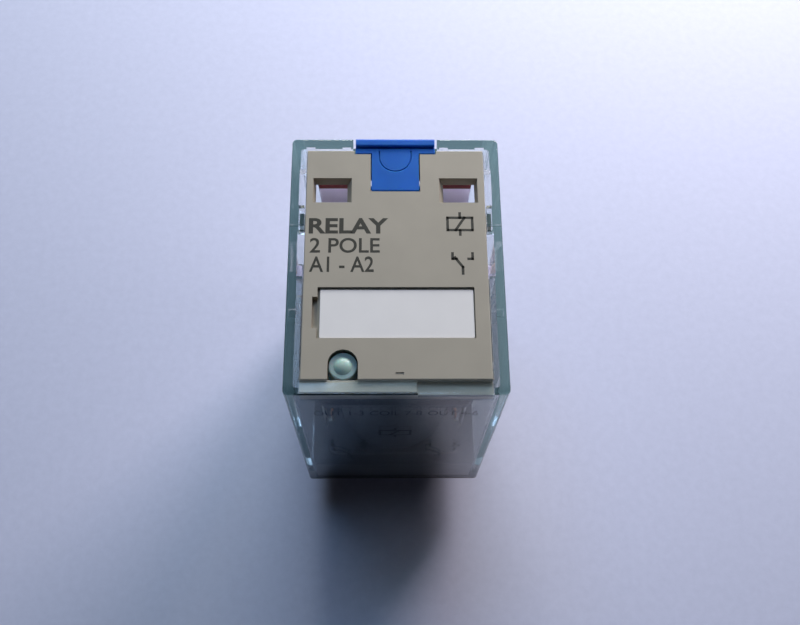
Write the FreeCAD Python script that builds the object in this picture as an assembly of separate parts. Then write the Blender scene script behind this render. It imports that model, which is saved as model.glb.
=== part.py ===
"""A plug-in control relay with two changeover poles, a clear cover and a latching lever.

The relay is 21.5 mm wide (X), 28 mm deep (Y) and 35.5 mm tall above its seat (Z), all in millimetres.
Eight blades reach 6.3 mm below the seat, the underside of the base.  Every height in this file is counted
from the seat, and the finished pieces are then raised so that the blade tips are at Z = 0.
The front is -Y, where the coil and the lamp are; the contacts, the windows and the lever are at +Y.

The coil stands upright at the front.  Its flux runs from the core through the yoke under it and back
through the armature, a plate that rocks on the rounded rear end of the yoke.  When the coil pulls, the
armature's top moves forward by about 1.3 mm.  The card on its back carries the two moving contact
springs from the normally closed contacts at the rear to the normally open ones in front of them, and
slides the red flags under the windows of the top frame.  The yellow test button's two sloping feet
stand on a wedge of the card, so that pressing the button works the contacts, and the button drops when
the coil pulls.  The blue lever covers the button and flips up about two trunnions at its inner end.
"""

import FreeCAD
import Part

import math
import os

Vector = FreeCAD.Vector

# ---- Driving dimensions -------------------------------------------------------------------------
WIDTH = 21.5
DEPTH = 28.0
HEIGHT = 35.5
BLADE_REACH = 6.3

WALL = 0.9  # the cover's side walls
CORNER_R = 0.5
INNER_CORNER_R = 0.3
RIM_R = 0.22
TOP_WALL = 1.0
SKIRT = 0.4  # the base's flange under the cover
FIT = 0.1  # clearance between pieces that slide into each other

HALF_X = WIDTH / 2
HALF_Y = DEPTH / 2
INNER_X = HALF_X - WALL
INNER_Y = HALF_Y - WALL
CEILING = HEIGHT - TOP_WALL

BASE_TOP = 6.8

# Top frame: the opaque panel that sits in the cover's top opening.
PANEL_X = 9.15
PANEL_FRONT = -12.5
PANEL_REAR = 12.65
PANEL_TOP = HEIGHT - 0.1
PANEL_THICK = 1.2
PANEL_BOTTOM = PANEL_TOP - PANEL_THICK
FLANGE_BOTTOM = CEILING - 1.0

# Slots down each side between the panel and the cover's wall, as pairs of Y values.
SIDE_SLOTS = ((6.1, 10.3), (-1.8, 3.3))
REAR_SLOTS = ((4.6, 5.5), (8.3, 9.25))

# Tabs of the top frame that catch under the cover's rim.
LEDGES = (((-9.2, 1.9), 34.95), ((1.9, 9.2), 34.45))  # X values and top of each
LEDGE_FRONT = 13.6
SIDE_TAB_Y = (4.1, 5.5)
REAR_TAB_X = (5.8, 8.0)

# The moulding gate's mark near the panel's front edge.
GATE_X = (-0.1, 0.7)
GATE_Y = (-12.05, -11.75)
GATE_DEEP = 0.08

# Windows over the flags.
WINDOW_X = (4.46, 8.45)
WINDOW_Y = (6.5, 9.35)
WINDOW_FOOT_X = (4.98, 8.2)
WINDOW_FOOT_Y = (6.55, 9.25)

# Write-on label and its recess.
RECESS_X = 7.7
RECESS_Y = (-8.3, -2.93)
RECESS_DEEP = 0.5
LABEL_THICK = 0.35

# Lamp.
LAMP_X = -5.12
LAMP_Y = -11.0
LAMP_R = 1.38
LAMP_RIM_R = 1.55
LAMP_NOTCH_R = 1.45
LAMP_NOTCH_Y = -10.9
LAMP_SHOULDER = 35.0
LENS_R = 0.9
LENS_RISE = 0.3

# Terminals: one column each side, four rows from the rear to the front.
COLUMN_X = 6.6
BLADE_WIDE = 2.6
BLADE_THICK = 0.5
ROW_NC = 8.7
ROW_NO = ROW_NC - 4.1
ROW_COM = ROW_NO - 6.35
ROW_COIL = ROW_COM - 6.35
STRIP_WIDE = 3.0
SHORT_BLADE_TOP = 8.6

# Contacts.
CONTACT_Z = 25.0
CONTACT_R = 1.3
SHANK_R = 0.5
FIXED_HEAD = 0.6
MOVING_HEAD = 0.57
LEAF_Y = 7.13
LEAF_THICK = 0.26
LEAF_BOTTOM = 9.4
LEAF_TOP = 27.4
NC_STRIP_TOP = 27.8
NO_STRIP_TOP = 26.8

# Magnet.
COIL_Y = -5.7
CORE_R = 3.2
SLEEVE_R = 4.0
WINDING_R = 6.2
TAPE_R = 6.4
RIVET_R = 2.0
YOKE_X = 3.8
YOKE_THICK = 1.8
PIVOT_Y = 1.9
PIVOT_Z = 8.0
YOKE_BOTTOM = PIVOT_Z - YOKE_THICK / 2
YOKE_TOP = PIVOT_Z + YOKE_THICK / 2
NOSE_R = YOKE_THICK / 2
NOSE_PLAY = 0.05
CORE_TOP = 29.0
POLE_TOP = 30.6
POLE_FACE = 0.88
FLANGE_THICK = 1.0
BOBBIN_X = 7.9
BOBBIN_Y = (-12.4, 0.7)

ARMATURE_X = 5.0
WAIST_X = 3.4
WAIST_TOP = 13.0
TONGUE_X = 1.3
ARMATURE_Y = (2.2, 3.7)
ARMATURE_TOP = 30.8

# Card.
BAR_Z = (12.0, 17.0)
BAR_Y = (6.2, 8.1)
SHELF_Z = (31.0, 32.0)
SHELF_Y = (4.4, 10.05)
SHELF_X = (7.0, 8.05)  # half widths at its front and rear
FLAG_X = (4.6, 8.05, 8.3)  # inner side, then outer side at the front and rear
FLAG_REAR = 11.2
WEDGE_X = 1.4

# Circuit board.
BOARD_Z = (31.2, 32.0)
BOARD_X = 8.7
BOARD_Y = (-12.6, -4.4)
SUPPLY_X = 8.15
SUPPLY_R = 0.25

# Lever and test button.
LEVER_Y = 8.45
LEVER_Z = 34.9
LEVER_X = 2.45
LEVER_FRONT = 7.95
LEVER_TOP = 35.3
LEVER_THICK = 1.0
LEVER_EDGE = 0.1
GRIP_X = 4.12
GRIP_Y = (12.4, 14.0)
GRIP_TOP = 35.6
RIDGE_R = 0.25
RIDGE_FRONT = 13.05
VALLEY = 0.12
GRIP_PLAY = 0.2
CAM_REACH = 1.4
CAM_R = 0.35
CAM_X = 0.5
TRUNNION_R = 0.22
TRUNNION_X = 3.5
CLOSE_FIT = 0.05  # clearance of the trunnions in their bearings and of the button in its guide
SWING_ROOM = 0.17  # in front of the lever, for its top front edge as it turns
BEARING_HALF = 0.95
MARK_R = 1.72  # the half-moon mark: a groove round an arch, open towards the grip
MARK_Y = 11.88
MARK_REAR = 12.66
MARK_WIDE = 0.14
MARK_DEEP = 0.15
BUTTON_X = 1.5
BUTTON_Y = (10.95, 12.4)
BUTTON_TOP = 34.1
BUTTON_BOTTOM = 30.5
FOOT_FRONT = 9.5
FOOT_TOP = 33.1
WEDGE_GAP = 0.08

# Return spring, under the yoke.
SPRING_Z = 5.4
SPRING_R = 0.95
SPRING_WIRE_R = 0.15
SPRING_TURNS = 8
SPRING_Y = (-1.3, 1.4)
LUG_Y = (-3.0, -2.2)
TONGUE_BOTTOM = 4.5

# Latches: lugs of the base that catch in windows low in the cover's side walls.
LATCHES = ((-11.6, -8.0), (8.0, 11.6))
LATCH_Z = (2.7, 5.2)
LATCH_PLAY = 0.2


# ---- Shapes -------------------------------------------------------------------------------------
def box(x, y, z):
    """A block between three pairs of coordinates."""
    corner = Vector(min(x), min(y), min(z))
    return Part.makeBox(abs(x[1] - x[0]), abs(y[1] - y[0]), abs(z[1] - z[0]), corner)


def wide(half):
    """The pair of X values of something centred on X = 0."""
    return (-half, half)


def upright_edges(shape, tolerance=1e-4):
    """The straight edges of a shape that run along Z."""
    found = []
    for edge in shape.Edges:
        run = edge.lastVertex().Point - edge.firstVertex().Point
        if abs(run.x) < tolerance and abs(run.y) < tolerance and abs(run.z) > tolerance:
            found.append(edge)
    return found


def rounded_box(x, y, z, radius):
    """A block with its upright edges rounded."""
    block = box(x, y, z)
    return block.makeFillet(radius, upright_edges(block))


def edges_at(shape, z, tolerance=1e-4):
    """The edges of a shape that lie wholly at one height."""
    found = []
    for edge in shape.Edges:
        low, high = edge.BoundBox.ZMin, edge.BoundBox.ZMax
        if abs(low - z) < tolerance and abs(high - z) < tolerance:
            found.append(edge)
    return found


def rod(radius, start, end):
    """A cylinder from one point to another."""
    start, end = Vector(*start), Vector(*end)
    run = end - start
    return Part.makeCylinder(radius, run.Length, start, run)


def prism_x(points, x):
    """A YZ outline of (y, z) points, drawn out between two X values."""
    outline = Part.makePolygon([Vector(x[0], y, z) for y, z in points + points[:1]])
    return Part.Face(outline).extrude(Vector(x[1] - x[0], 0, 0))


def prism_y(points, y):
    """An XZ outline of (x, z) points, drawn out between two Y values."""
    outline = Part.makePolygon([Vector(x, y[0], z) for x, z in points + points[:1]])
    return Part.Face(outline).extrude(Vector(0, y[1] - y[0], 0))


def prism_z(points, z):
    """An XY outline of (x, y) points, drawn out between two Z values."""
    outline = Part.makePolygon([Vector(x, y, z[0]) for x, y in points + points[:1]])
    return Part.Face(outline).extrude(Vector(0, 0, z[1] - z[0]))


def splayed(half_widths, y):
    """The outline of a plate that is wider at the rear than at the front."""
    front, rear = half_widths
    return [(-front, y[0]), (front, y[0]), (rear, y[1]), (-rear, y[1])]


def rectangle(x, y, z):
    """A level rectangular wire."""
    corners = [(x[0], y[0]), (x[1], y[0]), (x[1], y[1]), (x[0], y[1]), (x[0], y[0])]
    return Part.makePolygon([Vector(a, b, z) for a, b in corners])


def mirrored(shape):
    """The same shape on the other side of X = 0."""
    return shape.mirror(Vector(0, 0, 0), Vector(1, 0, 0))


def both_sides(shape):
    """A shape and its mirror image, as a list."""
    return [shape, mirrored(shape)]


def fused(shapes):
    """One solid from shapes that touch or overlap."""
    solids = [solid for shape in shapes for solid in shape.Solids]
    if len(solids) == 1:
        return solids[0]
    return solids[0].multiFuse(solids[1:]).removeSplitter()


def bent_path(points, share=0.45):
    """A wire through points, each corner rounded as far as its two runs allow."""
    points = [Vector(*p) for p in points]
    edges = []
    here = points[0]
    for before, corner, after in zip(points, points[1:], points[2:]):
        into, out = (before - corner), (after - corner)
        cut = share * min(into.Length, out.Length)
        start = corner + into.normalize() * cut
        end = corner + out.normalize() * cut
        half_turn = (math.pi - into.getAngle(out)) / 2
        radius = cut / math.tan(half_turn)
        centre = corner + (into + out).normalize() * math.hypot(cut, radius)
        middle = centre + (corner - centre).normalize() * radius
        edges.append(Part.LineSegment(here, start).toShape())
        edges.append(Part.Arc(start, middle, end).toShape())
        here = end
    edges.append(Part.LineSegment(here, points[-1]).toShape())
    return Part.Wire(edges)


def wire_along(points, radius, share=0.45):
    """A round wire along points with rounded corners."""
    path = bent_path(points, share)
    start = path.Edges[0].firstVertex().Point
    run = path.Edges[0].lastVertex().Point - start
    profile = Part.Wire([Part.makeCircle(radius, start, run)])
    return path.makePipeShell([profile], True, False)


def rivet(x, y, z, way, head, through, back=0.3):
    """A contact rivet on a strip face at y: its domed head stands off the face along way, -1 or +1."""
    rim = 0.55 * head
    dome = head - rim
    ball_r = (CONTACT_R**2 + dome**2) / (2 * dome)
    body = rod(CONTACT_R, (x, y, z), (x, y + way * head, z))
    ball = Part.makeSphere(ball_r, Vector(x, y + way * (head - ball_r), z))
    pieces = [body.common(ball)]
    if through:
        pieces.append(rod(SHANK_R, (x, y, z), (x, y - way * through, z)))
    if back:
        pieces.append(rod(0.8, (x, y - way * through, z), (x, y - way * (through + back), z)))
    return fused(pieces)


# ---- Cover, base and top frame ------------------------------------------------------------------
def cover():
    """The clear shell: a box open at the bottom, with an opening in its top for the frame."""
    shell = rounded_box(wide(HALF_X), wide(HALF_Y), (SKIRT, HEIGHT), CORNER_R)
    shell = shell.makeFillet(RIM_R, edges_at(shell, HEIGHT))
    room = rounded_box(wide(INNER_X), wide(INNER_Y), (SKIRT - 1, CEILING), INNER_CORNER_R)
    opening = box(wide(PANEL_X + FIT), (PANEL_FRONT - FIT, PANEL_REAR + FIT), (CEILING - 1, HEIGHT + 1))
    cuts = [room, opening]
    for y in SIDE_SLOTS:
        cuts += both_sides(box((PANEL_X, INNER_X), y, (CEILING - 1, HEIGHT + 1)))
    for x in REAR_SLOTS:
        cuts += both_sides(box(x, (PANEL_REAR, PANEL_REAR + 0.3), (CEILING - 1, HEIGHT + 1)))
    for y in LATCHES:
        long = (y[0] - LATCH_PLAY, y[1] + LATCH_PLAY)
        tall = (LATCH_Z[0] - LATCH_PLAY, LATCH_Z[1] + LATCH_PLAY)
        cuts += both_sides(box((INNER_X - 1, HALF_X + 1), long, tall))
    # the pocket under the front rim that holds the frame's two ledges
    for x, top in LEDGES:
        pocket_x = (x[0] - FIT, x[1] + FIT)
        cuts.append(box(pocket_x, (-LEDGE_FRONT - FIT, PANEL_FRONT), (FLANGE_BOTTOM - FIT, top + FIT / 2)))
    # the notch in the rear wall where the lever's grip lies
    cuts.append(box(wide(GRIP_X + 0.25), (PANEL_REAR, HALF_Y + 1), (CEILING - 0.9, HEIGHT + 1)))
    # fine witness grooves and dimples in the rim
    cuts += both_sides(box((PANEL_X, HALF_X + 1), (3.75, 3.93), (HEIGHT - 0.15, HEIGHT + 1)))
    cuts += both_sides(box((9.75, 10.45), (-6.1, -5.3), (HEIGHT - 0.3, HEIGHT + 1)))
    return shell.cut(cuts)


def base(terminals, spring_trough):
    """The moulded block that holds the blades, with a flange under the cover and lugs in its windows."""
    pieces = [rounded_box(wide(HALF_X), wide(HALF_Y), (0, SKIRT), CORNER_R)]
    pieces.append(rounded_box(wide(INNER_X - FIT), wide(INNER_Y - FIT), (0, BASE_TOP), INNER_CORNER_R))
    # two ribs that carry the yoke
    pieces += both_sides(box((2.1, 3.6), (-9.0, 0.8), (BASE_TOP - 0.5, YOKE_BOTTOM)))
    # blocks behind the contact strips, and the wall between the two poles
    pieces += both_sides(box((4.9, 8.3), (ROW_NC + BLADE_THICK / 2, 10.4), (BASE_TOP - 0.5, 12.5)))
    pieces += both_sides(box((5.2, 8.3), (ROW_NO + BLADE_THICK / 2, 5.7), (BASE_TOP - 0.5, 8.8)))
    pieces.append(box(wide(0.6), (8.7, INNER_Y - FIT), (BASE_TOP - 0.5, 27.0)))
    lug_x = INNER_X - FIT
    bottom, top = LATCH_Z
    lug = [(lug_x - 0.3, bottom), (HALF_X - 0.2, bottom), (lug_x, top), (lug_x - 0.3, top)]
    for y in LATCHES:
        pieces += both_sides(prism_y(lug, y))
    block = fused(pieces)
    hollows = [spring_trough]
    for y in ((-6.7, -3.2), (-0.2, 3.0)):
        hollows.append(box(wide(7.6), y, (-1, 0.6)))
    return block.cut(hollows).cut(terminals)


def spring_trough():
    """The space in the base for the return spring, the armature's tongue and the yoke's lug."""
    return box(wide(1.8), (-3.6, 4.7), (3.6, BASE_TOP + 0.1))


def window(grow=0.05):
    """The tapered hole of the right-hand window."""
    foot = rectangle(WINDOW_FOOT_X, WINDOW_FOOT_Y, PANEL_BOTTOM - grow)
    mouth = rectangle(WINDOW_X, WINDOW_Y, PANEL_TOP + grow)
    return Part.makeLoft([foot, mouth], True)


def top_frame():
    """The opaque top panel with its windows, label recess, lamp notch, lever bearings and button guide."""
    panel = box(wide(PANEL_X), (PANEL_FRONT, PANEL_REAR), (PANEL_BOTTOM, PANEL_TOP))
    panel = panel.makeFillet(0.12, edges_at(panel, PANEL_TOP))
    tab_z = (FLANGE_BOTTOM, CEILING)
    tabs = [box(x, (-LEDGE_FRONT, PANEL_FRONT + 1), (FLANGE_BOTTOM, top)) for x, top in LEDGES]
    tabs += both_sides(box((PANEL_X - 1, INNER_X - FIT), SIDE_TAB_Y, tab_z))
    tabs += both_sides(box(REAR_TAB_X, (PANEL_REAR - 1, INNER_Y - FIT), tab_z))
    frame = fused([panel] + tabs)

    side = LEVER_X + FIT
    deep = (FLANGE_BOTTOM - 1, HEIGHT + 1)
    cuts = both_sides(window())
    cuts.append(box(wide(side), (LEVER_FRONT - SWING_ROOM, HALF_Y), deep))
    cuts.append(box(wide(GRIP_X + 0.13), (GRIP_Y[0] - GRIP_PLAY, HALF_Y), deep))
    cuts.append(box(wide(RECESS_X), RECESS_Y, (PANEL_TOP - RECESS_DEEP, HEIGHT + 1)))
    cuts.append(box((-8.2, -RECESS_X), (-7.23, -3.96), (PANEL_TOP - 0.8, HEIGHT + 1)))
    cuts.append(rod(LAMP_NOTCH_R, (LAMP_X, LAMP_NOTCH_Y, deep[0]), (LAMP_X, LAMP_NOTCH_Y, deep[1])))
    cuts.append(box((LAMP_X - LAMP_NOTCH_R, LAMP_X + LAMP_NOTCH_R), (PANEL_FRONT, LAMP_NOTCH_Y), deep))
    cuts.append(box(GATE_X, GATE_Y, (PANEL_TOP - GATE_DEEP, HEIGHT)))
    frame = frame.cut(cuts)

    # rails and floor round the test button, and the snap bearings for the lever's trunnions
    floor = box(wide(side + 0.9), (10.3, 12.95), (33.2, 34.15))
    rails = both_sides(box((side, side + 0.9), (10.3, GRIP_Y[0] - GRIP_PLAY), (34.0, PANEL_BOTTOM + 0.2)))
    bearing_y = (LEVER_Y - BEARING_HALF, LEVER_Y + BEARING_HALF)
    bearings = both_sides(box((side, side + 1.1), bearing_y, (33.4, PANEL_BOTTOM + 0.2)))
    frame = fused([frame, floor] + rails + bearings)
    guide = box(wide(BUTTON_X + CLOSE_FIT), (BUTTON_Y[0] - CLOSE_FIT, BUTTON_Y[1] + CLOSE_FIT), (33.0, 34.5))
    axle = rod(TRUNNION_R + CLOSE_FIT, (-side - 1, LEVER_Y, LEVER_Z), (side + 1, LEVER_Y, LEVER_Z))
    lips = TRUNNION_R - CLOSE_FIT
    mouth = box(wide(side + 1), (LEVER_Y - lips, LEVER_Y + lips), (33.0, LEVER_Z))
    return frame.cut([guide, axle, mouth])


def label():
    """The blank write-on label in the recess."""
    floor = PANEL_TOP - RECESS_DEEP
    card = rounded_box((-7.45, 7.6), (RECESS_Y[0] + 0.05, -3.15), (floor, floor + LABEL_THICK), 0.15)
    return card.makeFillet(0.06, edges_at(card, floor + LABEL_THICK))


# ---- Terminals and fixed contacts ---------------------------------------------------------------
def blade(row, top, strip=False):
    """A terminal on the right: a flat blade with a slotted eye, drawn up into a contact strip if asked."""
    half = BLADE_WIDE / 2
    y = (row - BLADE_THICK / 2, row + BLADE_THICK / 2)
    tip = -BLADE_REACH
    side_cut, face_cut = 0.6, 0.15
    outline = [(-half, tip + side_cut), (-half + side_cut, tip), (half - side_cut, tip)]
    outline += [(half, tip + side_cut), (half, top), (-half, top)]
    body = prism_y([(COLUMN_X + x, z) for x, z in outline], y)
    profile = [(y[0], tip + 0.5), (y[0] + face_cut, tip), (y[1] - face_cut, tip), (y[1], tip + 0.5)]
    profile += [(y[1], top), (y[0], top)]
    body = body.common(prism_x(profile, (COLUMN_X - half, COLUMN_X + half)))
    eye = [rod(0.6, (COLUMN_X, y[0] - 1, z), (COLUMN_X, y[1] + 1, z)) for z in (-3.7, -2.7)]
    eye.append(box((COLUMN_X - 0.6, COLUMN_X + 0.6), (y[0] - 1, y[1] + 1), (-3.7, -2.7)))
    body = body.cut(eye)
    if strip:
        wing = STRIP_WIDE / 2
        crown = [(-wing, BASE_TOP), (wing, BASE_TOP), (wing, top - 0.7), (wing - 0.7, top)]
        crown += [(-wing + 0.7, top), (-wing, top - 0.7)]
        riser = prism_y([(COLUMN_X + x, z) for x, z in crown], y)
        stem = body.cut(box((0, HALF_X), (y[0] - 1, y[1] + 1), (BASE_TOP, top + 1)))
        body = fused([stem, riser])
        body = body.cut(rod(SHANK_R, (COLUMN_X, y[0] - 1, CONTACT_Z), (COLUMN_X, y[1] + 1, CONTACT_Z)))
    return body


def fixed_contact(row, way):
    """A silver rivet on a strip, its head along way."""
    face = row + way * BLADE_THICK / 2
    return rivet(COLUMN_X, face, CONTACT_Z, way, FIXED_HEAD, BLADE_THICK)


# ---- Magnet -------------------------------------------------------------------------------------
def yoke():
    """The iron plate under the coil.  The armature rocks on its round rear end."""
    plate = box(wide(YOKE_X), (-9.5, PIVOT_Y), (YOKE_BOTTOM, YOKE_TOP))
    plate = plate.makeFillet(1.5, [e for e in upright_edges(plate) if e.BoundBox.YMax < -9])
    nose = rod(NOSE_R, (-3.3, PIVOT_Y, PIVOT_Z), (3.3, PIVOT_Y, PIVOT_Z))
    lug = box(wide(0.5), LUG_Y, (SPRING_Z - 1.3, YOKE_BOTTOM + 0.1))
    lug = lug.cut(rod(0.35, (-1, sum(LUG_Y) / 2, SPRING_Z), (1, sum(LUG_Y) / 2, SPRING_Z)))
    rivet_hole = rod(RIVET_R, (0, COIL_Y, YOKE_BOTTOM - 1), (0, COIL_Y, YOKE_TOP + 1))
    return fused([plate, nose, lug]).cut(rivet_hole)


def core():
    """The round iron core, riveted through the yoke and the pole piece."""
    shaft = rod(CORE_R, (0, COIL_Y, YOKE_TOP), (0, COIL_Y, CORE_TOP))
    foot = rod(RIVET_R, (0, COIL_Y, YOKE_BOTTOM), (0, COIL_Y, YOKE_TOP))
    head = rod(RIVET_R, (0, COIL_Y, CORE_TOP), (0, COIL_Y, POLE_TOP))
    return fused([shaft, foot, head])


def pole_piece():
    """The iron plate on top of the core, whose rear face pulls the armature."""
    plate = rounded_box(wide(ARMATURE_X), (-9.2, POLE_FACE), (CORE_TOP, POLE_TOP), 0.5)
    return plate.cut(rod(RIVET_R, (0, COIL_Y, CORE_TOP - 1), (0, COIL_Y, POLE_TOP + 1)))


def bobbin():
    """The moulded reel: a sleeve, two flanges, and posts that carry the circuit board."""
    sleeve = rod(SLEEVE_R, (0, COIL_Y, YOKE_TOP), (0, COIL_Y, CORE_TOP))
    lower = rounded_box(wide(BOBBIN_X), BOBBIN_Y, (YOKE_TOP, YOKE_TOP + FLANGE_THICK), 1.2)
    upper = rounded_box(wide(BOBBIN_X), BOBBIN_Y, (CORE_TOP - FLANGE_THICK, CORE_TOP), 1.2)
    posts = []
    for y in ((-12.1, -11.0), (-5.6, -4.6)):
        posts += both_sides(box((6.5, 7.7), y, (CORE_TOP - 0.5, BOARD_Z[0])))
    reel = fused([sleeve, lower, upper] + posts)
    bore = rod(CORE_R, (0, COIL_Y, YOKE_TOP - 1), (0, COIL_Y, CORE_TOP + 1))
    notch_z = (YOKE_TOP - 1, YOKE_TOP + FLANGE_THICK + 1)
    wire_notches = both_sides(box((7.2, BOBBIN_X + 1), (-8.5, -7.3), notch_z))
    return reel.cut([bore] + wire_notches)


def tube_round_core(inner, outer, z):
    """A tube about the coil's axis."""
    skin = rod(outer, (0, COIL_Y, z[0]), (0, COIL_Y, z[1]))
    return skin.cut(rod(inner, (0, COIL_Y, z[0] - 1), (0, COIL_Y, z[1] + 1)))


def winding():
    """The coil of enamelled wire, as one solid."""
    return tube_round_core(SLEEVE_R, WINDING_R, (YOKE_TOP + FLANGE_THICK, CORE_TOP - FLANGE_THICK))


def winding_tape():
    """The tape round the winding."""
    return tube_round_core(WINDING_R, TAPE_R, (YOKE_TOP + FLANGE_THICK + 0.4, CORE_TOP - FLANGE_THICK - 0.4))


def coil_wire_end():
    """The end of the winding, down past the lower flange to the coil's blade."""
    radius = 0.14
    face = ROW_COIL + BLADE_THICK / 2 + radius
    return wire_along([(6.55, -4.9, 10.6), (7.4, face + 0.6, 10.5), (7.5, face, 9.6), (7.5, face, 7.3)], radius)


def armature():
    """The iron plate that rocks on the yoke: wide at the pole, narrow at the yoke, with a tongue below."""
    plate = box(wide(ARMATURE_X), ARMATURE_Y, (WAIST_TOP, ARMATURE_TOP))
    waist = box(wide(WAIST_X), ARMATURE_Y, (YOKE_BOTTOM - 0.1, WAIST_TOP))
    tongue = box(wide(TONGUE_X), ARMATURE_Y, (TONGUE_BOTTOM, YOKE_BOTTOM))
    groove = rod(NOSE_R + NOSE_PLAY, (-WIDTH, PIVOT_Y, PIVOT_Z), (WIDTH, PIVOT_Y, PIVOT_Z))
    eye = rod(0.35, (0, ARMATURE_Y[0] - 1, SPRING_Z), (0, ARMATURE_Y[1] + 1, SPRING_Z))
    return fused([plate, waist, tongue]).cut([groove, eye])


def return_spring():
    """The tension spring from the yoke's lug to the armature's tongue, with a straight tail at each end."""
    length = SPRING_Y[1] - SPRING_Y[0]
    coil_path = Part.makeHelix(length / SPRING_TURNS, length, SPRING_R)
    profile = Part.Wire([Part.makeCircle(SPRING_WIRE_R, Vector(SPRING_R, 0, 0), Vector(0, 1, 0))])
    coil = Part.Wire(coil_path).makePipeShell([profile], True, True)
    coil.rotate(Vector(0, 0, 0), Vector(1, 0, 0), -90)
    coil.translate(Vector(0, SPRING_Y[0], SPRING_Z))
    front = (SPRING_R, SPRING_Y[0], SPRING_Z)
    rear = (SPRING_R, SPRING_Y[1], SPRING_Z)
    lug_mid = sum(LUG_Y) / 2
    front_route = [front, (SPRING_R, lug_mid, SPRING_Z), (-0.8, lug_mid, SPRING_Z)]
    rear_route = [rear, (0.7, 1.8, SPRING_Z), (0, 2.1, SPRING_Z), (0, ARMATURE_Y[1] + 0.4, SPRING_Z)]
    tails = [wire_along(route, SPRING_WIRE_R) for route in (front_route, rear_route)]
    return Part.makeCompound([coil] + tails)


# ---- Card and moving contacts -------------------------------------------------------------------
def leaf():
    """A moving contact spring on the right, held in the card."""
    half = STRIP_WIDE / 2
    y = (LEAF_Y - LEAF_THICK / 2, LEAF_Y + LEAF_THICK / 2)
    outline = [(-half, LEAF_BOTTOM), (half, LEAF_BOTTOM), (half, 18.5), (1.1, 20.0), (1.1, 23.2)]
    outline += [(half, 24.0), (half, LEAF_TOP - 0.6), (half - 0.6, LEAF_TOP)]
    outline += [(-half + 0.6, LEAF_TOP), (-half, LEAF_TOP - 0.6), (-half, 24.0), (-1.1, 23.2), (-1.1, 20.0)]
    outline += [(-half, 18.5)]
    strip = prism_y([(COLUMN_X + x, z) for x, z in outline], y)
    return strip.cut(rod(SHANK_R, (COLUMN_X, y[0] - 1, CONTACT_Z), (COLUMN_X, y[1] + 1, CONTACT_Z)))


def moving_contact():
    """The double rivet on a moving contact spring: a dome towards each fixed contact."""
    y = (LEAF_Y - LEAF_THICK / 2, LEAF_Y + LEAF_THICK / 2)
    rear = rivet(COLUMN_X, y[1], CONTACT_Z, 1, MOVING_HEAD, LEAF_THICK, back=0)
    front = rivet(COLUMN_X, y[0], CONTACT_Z, -1, MOVING_HEAD, through=0, back=0)
    return fused([rear, front])


def card(leaves):
    """The moulded carrier on the armature's back: stem, cross-bar, mast, shelf for the flags and wedge."""
    stem = box(wide(4.0), (ARMATURE_Y[1], BAR_Y[0] + 0.1), (11.5, 19.5))
    bar = rounded_box(wide(8.7), BAR_Y, BAR_Z, 0.3)
    mast = box(wide(2.4), (ARMATURE_Y[1], 5.6), (19.0, SHELF_Z[0] + 0.1))
    shelf = prism_z(splayed(SHELF_X, SHELF_Y), SHELF_Z)
    slope = SHELF_Z[1] - SHELF_Z[0]
    rear = FLAG_REAR
    wedge = prism_x([(SHELF_Y[1] - 0.5, SHELF_Z[0]), (rear, SHELF_Z[0]), (rear - slope, SHELF_Z[1]),
                     (SHELF_Y[1] - 0.5, SHELF_Z[1])], wide(WEDGE_X))
    return fused([stem, bar, mast, shelf, wedge]).cut(leaves)


def flag():
    """The red flag on the right, behind the shelf and level with it."""
    inner, front_edge, rear_edge = FLAG_X
    outline = [(inner, SHELF_Y[1]), (front_edge, SHELF_Y[1]), (rear_edge, FLAG_REAR), (inner, FLAG_REAR)]
    return prism_z(outline, (SHELF_Z[0], SHELF_Z[1] - 0.1))


def flexible_lead():
    """The braided lead from the right-hand moving spring, round the armature's waist, to its common blade."""
    blade_face = ROW_COM + BLADE_THICK / 2
    radius = 0.4
    low = 7.9
    route = [(6.3, 6.58, 10.3), (4.9, 6.5, 10.1), (4.42, 5.2, 9.7), (4.4, 3.4, 9.1), (4.4, 1.6, 8.3)]
    route += [(4.5, 0.0, low), (5.1, blade_face + radius + 0.02, low), (6.6, blade_face + radius + 0.02, low)]
    return wire_along(route, radius)


# ---- Circuit board and its components -----------------------------------------------------------
def circuit_board():
    """The small board over the coil that carries the lamp, its resistor and a diode."""
    board = rounded_box(wide(BOARD_X), BOARD_Y, BOARD_Z, 0.5)
    holes = both_sides(rod(SUPPLY_R, (SUPPLY_X, ROW_COIL, 30), (SUPPLY_X, ROW_COIL, 33)))
    holes += [lead.copy() for lead in lamp_leads()]
    return board.cut(holes).cut(component_leads())


def lamp():
    """The lamp: a clear body with a rim at its foot and a small lens on its flat top."""
    rim = rod(LAMP_RIM_R, (LAMP_X, LAMP_Y, 32.2), (LAMP_X, LAMP_Y, 32.8))
    barrel = rod(LAMP_R, (LAMP_X, LAMP_Y, 32.8), (LAMP_X, LAMP_Y, LAMP_SHOULDER))
    barrel = barrel.makeFillet(0.15, edges_at(barrel, LAMP_SHOULDER))
    ball_r = (LENS_R**2 + LENS_RISE**2) / (2 * LENS_RISE)
    ball = Part.makeSphere(ball_r, Vector(LAMP_X, LAMP_Y, LAMP_SHOULDER + LENS_RISE - ball_r))
    lens = ball.common(rod(LENS_R, (LAMP_X, LAMP_Y, LAMP_SHOULDER - 0.1), (LAMP_X, LAMP_Y, HEIGHT)))
    return fused([rim, barrel, lens])


def lamp_leads():
    """The lamp's two legs, through the board."""
    legs = []
    for x in (LAMP_X - 0.6, LAMP_X + 0.6):
        legs.append(box((x - 0.2, x + 0.2), (LAMP_Y - 0.2, LAMP_Y + 0.2), (30.6, 32.2)))
    return legs


RESISTOR = ((-1.6, 2.6), -7.2, 32.95, 0.8)  # X span, Y, Z and radius
DIODE = ((-2.6, 0.6), -9.8, 32.85, 0.7)


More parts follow.
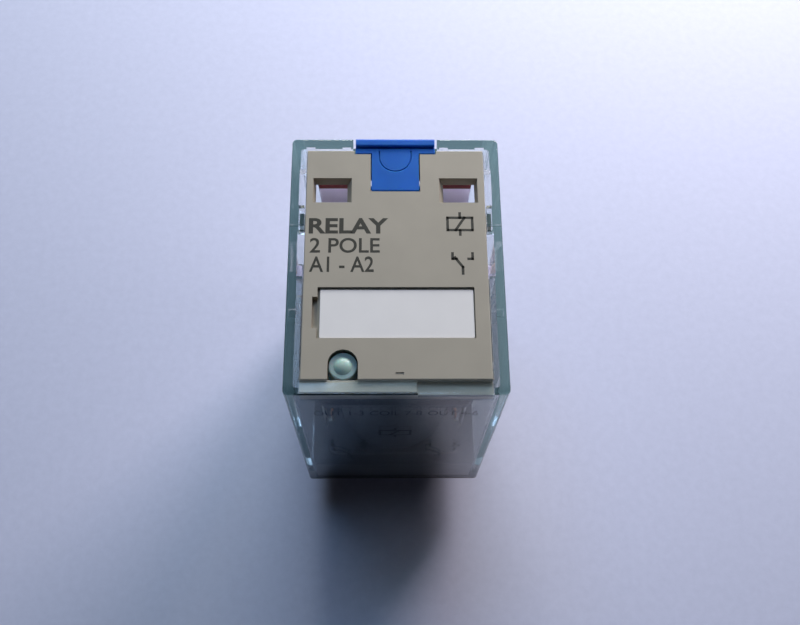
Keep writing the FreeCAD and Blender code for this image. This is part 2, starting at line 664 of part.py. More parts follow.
def axial_body(part):
    """The round body of a resistor or diode lying along X."""
    x, y, z, radius = part
    body = rod(radius, (x[0], y, z), (x[1], y, z))
    return body.makeFillet(0.25, [e for e in body.Edges if e.BoundBox.XLength < 1e-4])


def component_leads():
    """The bent legs of the resistor and the diode."""
    legs = []
    for x, y, z, _ in (RESISTOR, DIODE):
        for end, way in ((x[0], -1), (x[1], 1)):
            knee = end + way * 0.9
            legs.append(wire_along([(end, y, z), (knee, y, z), (knee, y, 30.8)], 0.2, share=0.4))
    return legs


def supply_wire():
    """The wire from the right-hand coil blade up to the board."""
    return rod(SUPPLY_R, (SUPPLY_X, ROW_COIL, 6.9), (SUPPLY_X, ROW_COIL, BOARD_Z[1] + 0.3))


# ---- Lever and test button ----------------------------------------------------------------------
def half_moon(radius):
    """The space inside the lever's mark: an arch with straight sides up to the grip."""
    z = (LEVER_TOP - MARK_DEEP, HEIGHT)
    arch = rod(radius, (0, MARK_Y, z[0]), (0, MARK_Y, z[1]))
    legs = box(wide(radius), (MARK_Y, MARK_REAR), z)
    in_front = box(wide(WIDTH), (0, MARK_REAR), z)
    return fused([arch, legs]).common(in_front)


def lever():
    """The blue latching lever, shut: trunnions and cam inside, half-moon mark, grip at the rear edge."""
    plate = box(wide(LEVER_X), (LEVER_FRONT, GRIP_Y[0] + 0.3), (LEVER_TOP - LEVER_THICK, LEVER_TOP))
    plate = plate.makeFillet(LEVER_EDGE, [e for e in edges_at(plate, LEVER_TOP) if e.BoundBox.YMax < LEVER_Y])
    grip = box(wide(GRIP_X), GRIP_Y, (LEVER_TOP - LEVER_THICK, LEVER_TOP))
    ridge = box(wide(GRIP_X), (RIDGE_FRONT, GRIP_Y[1]), (LEVER_TOP - LEVER_THICK, GRIP_TOP))
    long_edges = [e for e in edges_at(ridge, GRIP_TOP) if e.BoundBox.XLength > 1]
    ridge = ridge.makeFillet(RIDGE_R, long_edges)
    valley = box(wide(GRIP_X + 1), (RIDGE_FRONT - VALLEY, RIDGE_FRONT), (LEVER_TOP - VALLEY, GRIP_TOP))
    grip = fused([grip.cut(valley), ridge])
    axle = rod(TRUNNION_R, (-TRUNNION_X, LEVER_Y, LEVER_Z), (TRUNNION_X, LEVER_Y, LEVER_Z))
    cam_tip = LEVER_Z - CAM_REACH
    cam = fused([box(wide(CAM_X), (LEVER_Y - CAM_R, LEVER_Y + CAM_R), (cam_tip, LEVER_Z)),
                 rod(CAM_R, (-CAM_X, LEVER_Y, cam_tip), (CAM_X, LEVER_Y, cam_tip))])
    body = fused([plate, grip, axle, cam])
    return body.cut(half_moon(MARK_R).cut(half_moon(MARK_R - MARK_WIDE)))


def test_button():
    """The yellow button under the lever: a plunger with ears that hold it down and two sloping feet."""
    ramp = FLAG_REAR + SHELF_Z[0] + WEDGE_GAP * math.sqrt(2)  # y + z along the sloping face
    front, rear = BUTTON_Y
    outline = [(front, BUTTON_TOP), (front, ramp - front), (ramp - BUTTON_BOTTOM, BUTTON_BOTTOM)]
    outline += [(rear, BUTTON_BOTTOM), (rear, BUTTON_TOP)]
    plunger = prism_x(outline, wide(BUTTON_X))
    plunger = plunger.makeFillet(0.12, edges_at(plunger, BUTTON_TOP))
    ears = box(wide(BUTTON_X + 0.6), (11.4, rear), (32.1, FOOT_TOP))
    foot_rear = front + 0.2
    foot_outline = [(FOOT_FRONT, ramp - FOOT_FRONT), (foot_rear, ramp - foot_rear)]
    foot_outline += [(foot_rear, FOOT_TOP), (FOOT_FRONT, FOOT_TOP)]
    feet = both_sides(prism_x(foot_outline, (CAM_X + 0.25, BUTTON_X)))
    return fused([plunger, ears] + feet)


# ---- Assembly -----------------------------------------------------------------------------------
def all_parts():
    """Every node's name and shape."""
    rows = {"nc": (ROW_NC, NC_STRIP_TOP, True), "no": (ROW_NO, NO_STRIP_TOP, True),
            "common": (ROW_COM, SHORT_BLADE_TOP, False), "coil": (ROW_COIL, SHORT_BLADE_TOP, False)}
    parts = {}
    terminals = []
    for name, (row, top, strip) in rows.items():
        right, left = both_sides(blade(row, top, strip))
        parts[f"blade_{name}_right"] = right
        parts[f"blade_{name}_left"] = left
        terminals += [right, left]
    leaves = both_sides(leaf())
    parts["contact_spring_right"], parts["contact_spring_left"] = leaves
    parts["flexible_lead_right"], parts["flexible_lead_left"] = both_sides(flexible_lead())
    parts.update({
        "cover": cover(),
        "base": base(terminals, spring_trough()),
        "top_frame": top_frame(),
        "label": label(),
        "nc_contacts": Part.makeCompound(both_sides(fixed_contact(ROW_NC, -1))),
        "no_contacts": Part.makeCompound(both_sides(fixed_contact(ROW_NO, 1))),
        "yoke": yoke(),
        "core": core(),
        "pole_piece": pole_piece(),
        "bobbin": bobbin(),
        "winding": winding(),
        "winding_tape": winding_tape(),
        "coil_wire_ends": Part.makeCompound(both_sides(coil_wire_end())),
        "armature": armature(),
        "return_spring": return_spring(),
        "card": card(leaves),
        "flags": Part.makeCompound(both_sides(flag())),
        "moving_contacts": Part.makeCompound(both_sides(moving_contact())),
        "circuit_board": circuit_board(),
        "lamp": lamp(),
        "lamp_leads": Part.makeCompound(lamp_leads()),
        "resistor": axial_body(RESISTOR),
        "diode": axial_body(DIODE),
        "component_leads": Part.makeCompound(component_leads()),
        "supply_wires": Part.makeCompound(both_sides(supply_wire())),
        "lever": lever(),
        "test_button": test_button(),
    })
    return parts


def main():
    """Writes one STEP file for each node."""
    os.makedirs("parts", exist_ok=True)
    for name, shape in all_parts().items():
        solids = shape.Solids
        sound = all(s.isValid() and s.Volume > 0 for s in solids)
        state = "ok" if sound else "NOT SOUND"
        print(f"{name:22s} {len(solids)} solids, {shape.Volume:9.2f} mm3, {state}")
        whole = solids[0] if len(solids) == 1 else Part.makeCompound(solids)
        whole.translate(Vector(0, 0, BLADE_REACH))
        whole.exportStep(f"parts/{name}.step")


main()
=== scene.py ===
import math
import bmesh
import bpy
from mathutils import Matrix, Vector


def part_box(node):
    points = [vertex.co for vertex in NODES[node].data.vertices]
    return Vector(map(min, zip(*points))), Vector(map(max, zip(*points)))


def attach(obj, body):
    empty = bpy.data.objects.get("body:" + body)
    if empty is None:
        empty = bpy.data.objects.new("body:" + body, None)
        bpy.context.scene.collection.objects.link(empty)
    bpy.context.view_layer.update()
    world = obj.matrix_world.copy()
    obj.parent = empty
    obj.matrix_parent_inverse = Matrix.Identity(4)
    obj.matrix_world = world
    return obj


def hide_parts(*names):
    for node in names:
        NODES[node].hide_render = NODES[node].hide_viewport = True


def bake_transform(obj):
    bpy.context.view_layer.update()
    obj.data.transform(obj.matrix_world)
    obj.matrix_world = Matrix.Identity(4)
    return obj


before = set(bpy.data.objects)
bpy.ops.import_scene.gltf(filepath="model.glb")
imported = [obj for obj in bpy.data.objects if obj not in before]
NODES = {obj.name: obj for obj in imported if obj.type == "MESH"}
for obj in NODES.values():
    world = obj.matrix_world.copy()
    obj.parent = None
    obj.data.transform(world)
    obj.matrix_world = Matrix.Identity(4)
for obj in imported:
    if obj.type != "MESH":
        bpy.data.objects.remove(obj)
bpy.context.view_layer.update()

MM = 0.001


# ---- Materials ----------------------------------------------------------------------------------
class Shader:
    """A material under construction: makes nodes and links them."""

    def __init__(self, name):
        self.material = bpy.data.materials.new(name)
        self.material.use_nodes = True
        self.tree = self.material.node_tree
        self.tree.nodes.clear()
        self.output = self.add("ShaderNodeOutputMaterial")
        self.coordinates = self.add("ShaderNodeTexCoord").outputs["Object"]

    def add(self, kind, inputs=None, **settings):
        """A node with its settings, and with inputs given as values or as sockets to link."""
        node = self.tree.nodes.new(kind)
        for key, value in settings.items():
            setattr(node, key, value)
        for key, value in (inputs or {}).items():
            if isinstance(value, bpy.types.NodeSocket):
                self.tree.links.new(value, node.inputs[key])
            else:
                node.inputs[key].default_value = value
        return node

    def principled(self, **inputs):
        """The main shader, joined to the output."""
        node = self.add("ShaderNodeBsdfPrincipled", inputs)
        self.tree.links.new(node.outputs["BSDF"], self.output.inputs["Surface"])
        return node

    def noise(self, scale, detail=3.0, roughness=0.5, vector=None):
        """A noise texture's value, from 0 to 1, with scale in cycles per metre."""
        inputs = {"Vector": vector or self.coordinates, "Scale": scale}
        inputs.update({"Detail": detail, "Roughness": roughness})
        return self.add("ShaderNodeTexNoise", inputs).outputs["Fac"]

    def stretched(self, scale):
        """The coordinates, scaled differently along each axis."""
        return self.add("ShaderNodeMapping", {"Vector": self.coordinates, "Scale": scale}).outputs["Vector"]

    def ramp(self, value, low, high, start=0.0, end=1.0):
        """A value turned into a colour between low and high."""
        node = self.add("ShaderNodeValToRGB", {"Fac": value})
        node.color_ramp.elements[0].position = start
        node.color_ramp.elements[1].position = end
        node.color_ramp.elements[0].color = (*low, 1)
        node.color_ramp.elements[1].color = (*high, 1)
        return node.outputs["Color"]

    def between(self, value, low, high, start=0.0, end=1.0):
        """A value moved from one range into another."""
        inputs = {"Value": value, "From Min": start, "From Max": end, "To Min": low, "To Max": high}
        return self.add("ShaderNodeMapRange", inputs).outputs["Result"]

    def bump(self, height, depth, strength=1.0):
        """A surface relief of that depth in metres."""
        inputs = {"Height": height, "Distance": depth, "Strength": strength}
        return self.add("ShaderNodeBump", inputs).outputs["Normal"]


def shade(colour, factor):
    """A colour made lighter or darker."""
    return tuple(min(1.0, c * factor) for c in colour)


def moulded_plastic(name, colour, roughness, grain=0.006 * MM, grain_scale=9000, contrast=0.08, coat=0.0,
                    specular=0.5, glow=0.0):
    """Moulded plastic: a fine spark-eroded grain, and slow changes of tone and gloss."""
    s = Shader(name)
    tone = s.noise(220, detail=4)
    fine = s.noise(grain_scale, detail=2)
    s.principled(**{
        "Base Color": s.ramp(tone, shade(colour, 1 - contrast), shade(colour, 1 + contrast), 0.3, 0.7),
        "Roughness": s.between(fine, roughness - 0.06, roughness + 0.08, 0.3, 0.7),
        "Normal": s.bump(fine, grain, 0.6),
        "Coat Weight": coat, "Coat Roughness": 0.2, "IOR": 1.5, "Specular IOR Level": specular,
        "Subsurface Weight": glow, "Subsurface Scale": 0.6 * MM, "Subsurface Radius": (0.2, 0.45, 1.0),
    })
    return s.material


def metal(name, colour, roughness, along=(1, 1, 1), scratch=0.002 * MM):
    """Sheet metal with a drawn or rolled grain that runs along the axis with the smallest factor."""
    s = Shader(name)
    lines = s.noise(4000, detail=4, vector=s.stretched(along))
    patches = s.noise(350, detail=3)
    s.principled(**{
        "Base Color": s.ramp(patches, shade(colour, 0.86), shade(colour, 1.08), 0.3, 0.7),
        "Metallic": 1.0,
        "Roughness": s.between(lines, roughness - 0.08, roughness + 0.12, 0.3, 0.7),
        "Normal": s.bump(lines, scratch, 0.5),
    })
    return s.material


def clear_plastic(name, tint):
    """Tinted polycarbonate: clear across a wall, and glowing teal along one, where light scatters.

    The haze is thickest near the rim, as painted light standing in for light guided up the walls,
    and thinnest in the front wall.  Lamps shine through the walls without being bent, and are dimmed
    where they enter one, so the inside of a wall is lit as if it guided light.
    """
    s = Shader(name)
    ripple = s.noise(160, detail=2)
    scuffs = s.noise(2600, detail=4, vector=s.stretched((1, 1, 0.2)))
    body = s.add("ShaderNodeBsdfPrincipled", {
        "Base Color": (*tint, 1), "Transmission Weight": 1.0, "IOR": 1.45,
        "Roughness": s.between(scuffs, 0.01, 0.07, 0.35, 0.75), "Normal": s.bump(ripple, 0.01 * MM, 0.5),
    })
    leaving = s.add("ShaderNodeNewGeometry").outputs["Backfacing"]
    shade_tint = s.ramp(leaving, (0.25, 0.37, 0.43), (1.0, 1.0, 1.0))
    passing = s.add("ShaderNodeBsdfTransparent", {"Color": shade_tint})
    is_shadow = s.add("ShaderNodeLightPath").outputs["Is Shadow Ray"]
    ways = {1: body.outputs["BSDF"], 2: passing.outputs["BSDF"]}
    mix = s.add("ShaderNodeMixShader", {"Fac": is_shadow, **ways})
    s.tree.links.new(mix.outputs["Shader"], s.output.inputs["Surface"])
    absorb = s.add("ShaderNodeVolumeAbsorption", {"Color": (0.25, 0.64, 0.80, 1), "Density": 27.0})
    place = s.add("ShaderNodeSeparateXYZ", {"Vector": s.coordinates})
    # Painted light: the thick scatter near the rim stands in for light guided up the walls.
    behind_front = s.between(place.outputs["Y"], 0.3, 1.0, -13.1 * MM, -12.5 * MM)
    near_rim = s.between(place.outputs["Z"], 30.0, 110.0, 34.0 * MM, 39.0 * MM)
    haze = s.add("ShaderNodeMath", {0: behind_front, 1: near_rim}, operation="MULTIPLY").outputs["Value"]
    scatter = s.add("ShaderNodeVolumeScatter", {"Color": (0.48, 0.84, 1.0, 1), "Density": haze})
    both = s.add("ShaderNodeAddShader", {0: absorb.outputs["Volume"], 1: scatter.outputs["Volume"]})
    s.tree.links.new(both.outputs["Shader"], s.output.inputs["Volume"])
    return s.material


def lens_epoxy(name, core, rim, axis, core_radius):
    """Milky epoxy with a brighter core about an upright axis."""
    s = Shader(name)
    centre = (axis[0], axis[1], 0)
    offset = s.add("ShaderNodeVectorMath", {0: s.coordinates, 1: centre}, operation="SUBTRACT")
    flat = s.add("ShaderNodeVectorMath", {0: offset.outputs["Vector"], 1: (1, 1, 0)}, operation="MULTIPLY")
    away = s.add("ShaderNodeVectorMath", {0: flat.outputs["Vector"]}, operation="LENGTH").outputs["Value"]
    share = s.between(away, 0.0, 1.0, 0.0, 2 * core_radius)
    s.principled(**{
        "Base Color": s.ramp(share, core, rim, 0.42, 0.54),
        "Roughness": 0.3, "IOR": 1.5, "Specular IOR Level": 0.35,
        "Subsurface Weight": 0.3, "Subsurface Scale": 0.3 * MM,
        "Normal": s.bump(s.noise(600, detail=2), 0.01 * MM, 0.5),
    })
    return s.material


def banded(name, body, bands, span, roughness=0.35):
    """A lacquered body with bands, each of a place and a width, as shares of the span, and a colour."""
    s = Shader(name)
    x = s.add("ShaderNodeSeparateXYZ", {"Vector": s.coordinates}).outputs["X"]
    node = s.add("ShaderNodeValToRGB", {"Fac": s.between(x, 0.0, 1.0, *span)})
    node.color_ramp.interpolation = "CONSTANT"
    node.color_ramp.elements[0].color = (*body, 1)
    node.color_ramp.elements.remove(node.color_ramp.elements[1])
    for place, width, colour in bands:
        node.color_ramp.elements.new(place).color = (*colour, 1)
        node.color_ramp.elements.new(place + width).color = (*body, 1)
    s.principled(**{
        "Base Color": node.outputs["Color"], "Roughness": roughness, "Coat Weight": 0.3,
        "Normal": s.bump(s.noise(3000, detail=2), 0.01 * MM, 0.4),
    })
    return s.material


def ink(name, colour, cover=0.9):
    """Pad-printed ink: slightly uneven, with pinholes where the grain shows through."""
    s = Shader(name)
    mottle = s.noise(7000, detail=3)
    s.principled(**{
        "Base Color": s.ramp(mottle, colour, shade(colour, 1.9), 0.45, 0.8),
        "Roughness": 0.6, "Alpha": s.between(mottle, cover, 0.55, 0.5, 0.8),
        "Normal": s.bump(mottle, 0.002 * MM, 0.5),
    })
    return s.material


def wound_wire(name, colour, pitch):
    """Enamelled wire in close turns about Z, a little irregular, with painted shade between the turns."""
    s = Shader(name)
    wander = s.noise(500, detail=2)
    warped = s.add("ShaderNodeVectorMath", {0: s.coordinates}, operation="ADD")
    shift = s.add("ShaderNodeVectorMath", {0: wander, "Scale": 0.15 * pitch}, operation="SCALE")
    s.tree.links.new(shift.outputs["Vector"], warped.inputs[1])
    turns = s.add("ShaderNodeTexWave", {"Vector": warped.outputs["Vector"], "Scale": math.pi / (10 * pitch)},
                  wave_type="BANDS", bands_direction="Z", wave_profile="SIN").outputs["Fac"]
    # Painted shade: the colour falls to about a third of itself in the grooves between turns.
    s.principled(**{
        "Base Color": s.ramp(turns, shade(colour, 0.35), colour),
        "Metallic": 0.85, "Roughness": 0.32, "Coat Weight": 0.6, "Coat Roughness": 0.15,
        "Normal": s.bump(turns, 0.06 * MM, 1.0),
    })
    return s.material


def paint(name, material):
    """Gives a CAD node one material in every slot."""
    mesh = NODES[name].data
    if not mesh.materials:
        mesh.materials.append(material)
    for index in range(len(mesh.materials)):
        mesh.materials[index] = material


lamp_low, lamp_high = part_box("lamp")
resistor_low, resistor_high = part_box("resistor")
diode_low, diode_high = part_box("diode")

BLACK = (0.012, 0.012, 0.014)
RESISTOR_BANDS = [(0.14, 0.08, (0.35, 0.02, 0.02)), (0.30, 0.08, (0.10, 0.02, 0.14)),
                  (0.46, 0.08, (0.40, 0.10, 0.02)), (0.78, 0.08, (0.55, 0.38, 0.12))]

materials = {
    "cover": clear_plastic("clear_polycarbonate", (0.95, 0.99, 1.0)),
    "top_frame": moulded_plastic("panel_grey", (0.415, 0.37, 0.295), 0.6, specular=0.25, contrast=0.04),
    "lever": moulded_plastic("lever_blue", (0.017, 0.135, 0.50), 0.42, specular=0.2, glow=0.7),
    "label": moulded_plastic("label_card", (0.83, 0.79, 0.75), 0.7, grain=0.003 * MM, contrast=0.03,
                             specular=0.3),
    "base": moulded_plastic("base_black", BLACK, 0.42),
    "bobbin": moulded_plastic("bobbin_black", (0.016, 0.016, 0.018), 0.5),
    "winding": wound_wire("winding_copper", (0.75, 0.30, 0.12), 0.12 * MM),
    "winding_tape": moulded_plastic("tape_dark", (0.02, 0.02, 0.025), 0.35, grain=0.01 * MM,
                                    grain_scale=1500),
    "card": moulded_plastic("card_lavender", (0.55, 0.46, 0.66), 0.5, specular=0.3),
    "flags": moulded_plastic("flag_red", (0.075, 0.004, 0.008), 0.55, specular=0.15),
    "test_button": moulded_plastic("button_yellow", (0.80, 0.55, 0.03), 0.4),
    "circuit_board": moulded_plastic("board_green", (0.02, 0.12, 0.05), 0.35, coat=0.4),
    "resistor": banded("resistor_tan", (0.52, 0.38, 0.22), RESISTOR_BANDS,
                       (resistor_low.x, resistor_high.x)),
    "diode": banded("diode_black", BLACK, [(0.74, 0.14, (0.55, 0.55, 0.56))], (diode_low.x, diode_high.x)),
    "lamp": lens_epoxy("lamp_epoxy", (0.42, 0.58, 0.50), (0.34, 0.45, 0.43),
                       (lamp_low + lamp_high) / 2, 0.9 * MM),
}
tin = metal("tinned_blade", (0.74, 0.72, 0.68), 0.28, along=(1, 1, 0.08))
iron = metal("plated_iron", (0.60, 0.58, 0.54), 0.36, along=(1, 1, 0.15))
bronze = metal("spring_bronze", (0.78, 0.48, 0.26), 0.3, along=(1, 1, 0.08))
silver = metal("contact_silver", (0.80, 0.79, 0.77), 0.22)
copper = metal("braid_copper", (0.78, 0.38, 0.20), 0.4, along=(0.3, 0.3, 1))
steel = metal("spring_steel", (0.55, 0.55, 0.56), 0.25)
for node in NODES:
    if node.startswith("blade_") or node in ("lamp_leads", "component_leads", "supply_wires"):
        materials[node] = tin
    elif node in ("yoke", "core", "pole_piece", "armature"):
        materials[node] = iron
    elif node.startswith("contact_spring"):
        materials[node] = bronze
    elif node.endswith("contacts"):
        materials[node] = silver
    elif node.startswith("flexible_lead") or node == "coil_wire_ends":
        materials[node] = copper
    elif node == "return_spring":
        materials[node] = steel
for node, material in materials.items():
    paint(node, material)

# ---- Printed marks ------------------------------------------------------------------------------
# Generic lettering, numbers and wiring symbols, as thin layers of ink.
PANEL_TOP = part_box("top_frame")[1].z
COVER_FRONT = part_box("cover")[0].y
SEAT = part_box("base")[0].z
INK_THICK = 0.006 * MM
LINE = 0.27 * MM


def printed(piece, upright=False):
    """Finishes a printed piece: it rides on the housing and is made of ink."""
    material = front_ink if upright else panel_ink
    piece.data.materials.append(material)
    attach(piece, "housing")


def facing(place, upright):
    """Where a print lies: level and read from the front, or upright on the front wall."""
    turn = Matrix.Rotation(math.radians(90), 4, "X") if upright else Matrix.Identity(4)
    return Matrix.Translation(place) @ turn


def lettering(name, text, low_corner, size, upright=False, weight=0.0):
    """Text fitted to a width and height, with its lower left corner at a place."""
    data = bpy.data.curves.new(name, "FONT")
    data.body = text
    data.offset = weight
    data.extrude = INK_THICK / 2
    piece = bpy.data.objects.new(name, data)
    bpy.context.scene.collection.objects.link(piece)
    bpy.context.view_layer.update()
    corners = [Vector(corner) for corner in piece.bound_box]
    left, bottom = min(c.x for c in corners), min(c.y for c in corners)
    wide = max(c.x for c in corners) - left
    tall = max(c.y for c in corners) - bottom
    fit = Matrix.Diagonal((size[0] / wide, size[1] / tall, 1, 1)) @ Matrix.Translation((-left, -bottom, 0))
    piece.matrix_world = facing(low_corner, upright) @ fit
    printed(piece, upright)


def drawing(name, strokes, place, upright=False):
    """Line work: each stroke is a list of (x, y) points in millimetres, drawn as a flat band."""
    mesh = bmesh.new()
    for stroke in strokes:
        for (x0, y0), (x1, y1) in zip(stroke, stroke[1:]):
            start, end = Vector((x0, y0)) * MM, Vector((x1, y1)) * MM
            along = (end - start).normalized() * LINE / 2
            across = Vector((-along.y, along.x))
            outline = [start - along - across, end + along - across]
            outline += [end + along + across, start - along + across]
            lower = [mesh.verts.new((p.x, p.y, -INK_THICK / 2)) for p in outline]
            upper = [mesh.verts.new((p.x, p.y, INK_THICK / 2)) for p in outline]
            mesh.faces.new(upper)
            mesh.faces.new(lower[::-1])
            for k in range(4):
                mesh.faces.new((lower[k], lower[(k + 1) % 4], upper[(k + 1) % 4], upper[k]))
    data = bpy.data.meshes.new(name)
    mesh.to_mesh(data)
    mesh.free()
    piece = bpy.data.objects.new(name, data)
    bpy.context.scene.collection.objects.link(piece)
    piece.matrix_world = facing(place, upright)
    printed(piece, upright)


def scaled(strokes, factor):
    """The strokes of a symbol, made larger or smaller."""
    return [[(x * factor, y * factor) for x, y in stroke] for stroke in strokes]


COIL_SYMBOL = [[(0.2, 0.5), (2.7, 0.5), (2.7, 1.9), (0.2, 1.9), (0.2, 0.5)], [(1.0, 0.5), (1.9, 1.9)],
               [(1.45, 0.0), (1.45, 0.5)], [(1.45, 1.9), (1.45, 2.4)]]
CONTACT_SYMBOL = [[(1.3, 0.0), (1.3, 0.7), (0.55, 1.75)], [(0.3, 2.2), (0.3, 1.6), (0.7, 1.6)],
                  [(2.3, 2.2), (2.3, 1.6), (1.9, 1.6)]]
panel_ink = ink("panel_ink", (0.032, 0.032, 0.024), cover=0.97)
front_ink = ink("front_ink", (0.004, 0.004, 0.005))


def top_prints():
    """The marks on the panel: three lines at the left, and a coil and a contact symbol at the right."""
    z = PANEL_TOP + INK_THICK / 2
    lettering("print_word", "RELAY", Vector((-8.75 * MM, 2.95 * MM, z)), (8.0 * MM, 1.75 * MM), weight=0.03)
    lettering("print_poles", "2 POLE", Vector((-8.6 * MM, 0.8 * MM, z)), (7.0 * MM, 1.65 * MM), weight=0.012)
    lettering("print_coil", "A1 - A2", Vector((-8.6 * MM, -1.3 * MM, z)), (6.4 * MM, 1.7 * MM), weight=0.012)
    drawing("print_coil_symbol", COIL_SYMBOL, Vector((5.05 * MM, 2.85 * MM, z)))
    drawing("print_contact_symbol", CONTACT_SYMBOL, Vector((5.35 * MM, -1.46 * MM, z)))


def front_prints():
    """The wiring diagram on the cover's front wall: two changeover contacts and the coil, numbered."""
    y = COVER_FRONT + INK_THICK
    contact_scale, coil_scale = 1.6, 1.3
    number_places = ((-1.9, 16.2), (1.2, 16.2), (-0.5, 9.6))
    for side, numbers in ((-1, "123"), (1, "456")):
        x = side * 5.2 * MM
        drawing(f"print_diagram_{numbers}", scaled(CONTACT_SYMBOL, contact_scale),
                Vector((x - 2.1 * MM, y, SEAT + 12.0 * MM)), upright=True)
        for number, (dx, h) in zip(numbers, number_places):
            wide = 0.35 if number == "1" else 0.9
            lettering(f"print_number_{number}", number, Vector((x + dx * MM, y, SEAT + h * MM)),
                      (wide * MM, 1.5 * MM), upright=True)
    drawing("print_diagram_coil", scaled(COIL_SYMBOL, coil_scale),
            Vector((-1.9 * MM, y, SEAT + 20.5 * MM)), upright=True)
    for name, text, x, h, size in (("print_rating_left", "OUT 1-3", -8.2, 28.6, (5.0, 1.5)),
                                   ("print_rating_mid", "COIL 7-8", -2.6, 28.6, (5.2, 1.5)),
                                   ("print_rating_right", "OUT 4-6", 3.2, 28.6, (5.0, 1.5))):
        place = Vector((x * MM, y, SEAT + h * MM))
        lettering(name, text, place, (size[0] * MM, size[1] * MM), upright=True)


top_prints()
front_prints()


# ---- Flexible leads -----------------------------------------------------------------------------
# Each is a rope of copper strands from a common blade, low and in front, to a moving contact spring.
LEAD_ROUTE = [(6.6, -0.28, 7.9), (5.1, -0.28, 7.9), (4.5, 0.0, 7.9), (4.4, 1.6, 8.3), (4.4, 3.4, 9.1),
              (4.42, 5.2, 9.7), (4.9, 6.5, 10.1), (6.3, 6.58, 10.3)]
STRANDS = 4
STRAND_R = 0.15 * MM
ROPE_R = 0.22 * MM
LAY = 1.8 * MM
STEPS_PER_LAY = 12


def smooth_line(points):
    """Points along the smooth curve that has those control points."""
    data = bpy.data.curves.new("lead_line", "CURVE")
    data.dimensions = "3D"
    data.resolution_u = 12
    spline = data.splines.new("NURBS")
    spline.points.add(len(points) - 1)
    for control, point in zip(spline.points, points):
        control.co = (*point, 1)
    spline.order_u = 3
    spline.use_endpoint_u = True
    line = bpy.data.objects.new("lead_line", data)
    mesh = bpy.data.meshes.new_from_object(line)
    found = [vertex.co.copy() for vertex in mesh.vertices]
    bpy.data.objects.remove(line)
    return found


def evenly(points, step):
    """Points at equal steps along a line of points."""
    spaced, left = [points[0]], step
    for start, end in zip(points, points[1:]):
        length = (end - start).length
        while left <= length:
            spaced.append(start.lerp(end, left / length))
            left += step
        left -= length
    return spaced


def rope(name, points, material):
    """A rope of strands twisted round a line of points, as one mesh."""
    line = evenly(smooth_line(points), LAY / STEPS_PER_LAY)
    data = bpy.data.curves.new(name, "CURVE")
    data.dimensions = "3D"
    data.bevel_depth = STRAND_R
    data.bevel_resolution = 2
    data.use_fill_caps = True
    side = Vector((0, 0, 1))
    stations = []
    for k, point in enumerate(line):
        ahead = (line[min(k + 1, len(line) - 1)] - line[max(k - 1, 0)]).normalized()
        side = (side - ahead * side.dot(ahead)).normalized()
        stations.append((point, side, ahead.cross(side)))
    for strand in range(STRANDS):
        spline = data.splines.new("POLY")
        spline.points.add(len(line) - 1)
        for k, (point, u, v) in enumerate(stations):
            turn = 2 * math.pi * (strand / STRANDS + k / STEPS_PER_LAY)
            place = point + (u * math.cos(turn) + v * math.sin(turn)) * ROPE_R
            spline.points[k].co = (*place, 1)
        spline.use_smooth = True
    curve = bpy.data.objects.new(name + "_curve", data)
    mesh = bpy.data.meshes.new_from_object(curve)
    bpy.data.objects.remove(curve)
    mesh.materials.clear()
    mesh.materials.append(material)
    piece = bpy.data.objects.new(name, mesh)
    bpy.context.scene.collection.objects.link(piece)
    return piece


def flexible_leads():
    """The two leads: ropes from the blade to the spring along a curved route, put in place of the CAD leads.
    """
    for side, sign in (("right", 1), ("left", -1)):
        points = [Vector((sign * x * MM, y * MM, SEAT + z * MM)) for x, y, z in LEAD_ROUTE]
        piece = rope(f"lead_rope_{side}", points, copper)
        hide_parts(f"flexible_lead_{side}")
        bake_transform(piece)


flexible_leads()

# ---- Stage: floor, lights and camera ------------------------------------------------------------


def paper_floor():
    """A large sheet of pale paper under the relay."""
    half = 0.6
    mesh = bpy.data.meshes.new("floor")
    corners = [(-half, -half, 0), (half, -half, 0), (half, half, 0), (-half, half, 0)]
    mesh.from_pydata(corners, [], [(0, 1, 2, 3)])
    floor = bpy.data.objects.new("floor", mesh)
    bpy.context.scene.collection.objects.link(floor)
    s = Shader("paper")
    fibres = s.noise(900, detail=6, roughness=0.6)
    s.principled(**{
        "Base Color": s.ramp(fibres, (0.60, 0.615, 0.765), (0.64, 0.655, 0.81), 0.3, 0.7),
        "Roughness": 0.85, "Normal": s.bump(fibres, 0.03 * MM, 0.4),
    })
    mesh.materials.append(s.material)


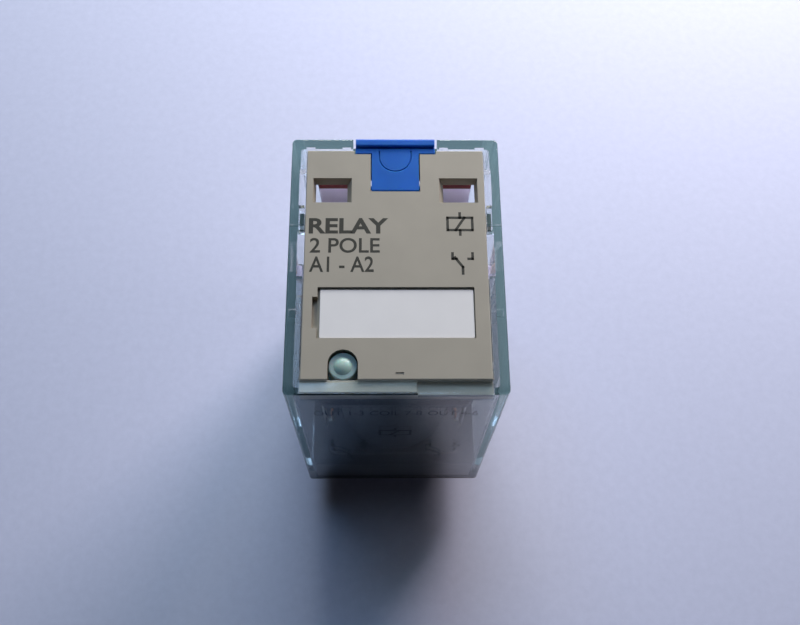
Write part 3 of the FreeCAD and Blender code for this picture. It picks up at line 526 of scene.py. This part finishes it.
def area_light(name, bearing, height, reach, size, power, colour, mirrored=True):
    """A soft lamp that faces the origin, its bearing in degrees from the rear to the right.

    A lamp that isn't mirrored lights things but doesn't show in gloss or glass.
    """
    data = bpy.data.lights.new(name, "AREA")
    data.shape = "RECTANGLE"
    data.size, data.size_y = size
    data.energy = power
    data.color = colour
    lamp = bpy.data.objects.new(name, data)
    bpy.context.scene.collection.objects.link(lamp)
    bearing, height = math.radians(bearing), math.radians(height)
    level = math.cos(height)
    place = Vector((math.sin(bearing) * level, math.cos(bearing) * level, math.sin(height))) * reach
    lamp.location = place
    lamp.rotation_euler = (-place).to_track_quat("-Z", "Y").to_euler()
    lamp.visible_glossy = mirrored


def studio():
    """Soft daylight from behind: low in the middle, high and bluer at the left, and nearer at the right."""
    area_light("window", bearing=2, height=24, reach=0.35, size=(0.16, 0.10), power=0.85,
               colour=(0.93, 1.0, 0.995))
    area_light("sky_left", bearing=-22, height=66, reach=0.35, size=(0.16, 0.12), power=0.30,
               colour=(0.46, 0.68, 1.0), mirrored=False)
    area_light("sky_right", bearing=31, height=37, reach=0.20, size=(0.065, 0.08), power=0.26,
               colour=(1.0, 0.93, 0.97))
    world = bpy.data.worlds.new("surround")
    bpy.context.scene.world = world
    world.use_nodes = True
    background = world.node_tree.nodes["Background"]
    background.inputs["Color"].default_value = (0.80, 0.85, 1.0, 1)
    background.inputs["Strength"].default_value = 0.013
    bpy.context.scene.view_settings.view_transform = "Standard"


CAMERA_PLACE = Vector((-1.271, -40.978, 127.317)) * MM
CAMERA_PITCH, CAMERA_YAW, CAMERA_ROLL = (math.radians(angle) for angle in (67.55, 2.653, 2.418))
FOCAL_LENGTH = 42.92
SENSOR_WIDTH = 36.0


def camera():
    """A camera almost overhead and a little in front: pitched down, turned to the right and rolled."""
    pitch, yaw, roll = CAMERA_PITCH, CAMERA_YAW, CAMERA_ROLL
    data = bpy.data.cameras.new("camera")
    data.lens = FOCAL_LENGTH
    data.sensor_width = SENSOR_WIDTH
    data.clip_start = 0.005
    eye = bpy.data.objects.new("camera", data)
    bpy.context.scene.collection.objects.link(eye)
    ahead = Vector((math.sin(yaw) * math.cos(pitch), math.cos(yaw) * math.cos(pitch), -math.sin(pitch)))
    level = ahead.cross(Vector((0, 0, 1))).normalized()
    above = level.cross(ahead)
    right = level * math.cos(roll) + above * math.sin(roll)
    up = above * math.cos(roll) - level * math.sin(roll)
    rotation = Matrix((right, up, -ahead)).transposed().to_4x4()
    eye.matrix_world = Matrix.Translation(CAMERA_PLACE) @ rotation
    bpy.context.scene.camera = eye


paper_floor()
studio()
camera()
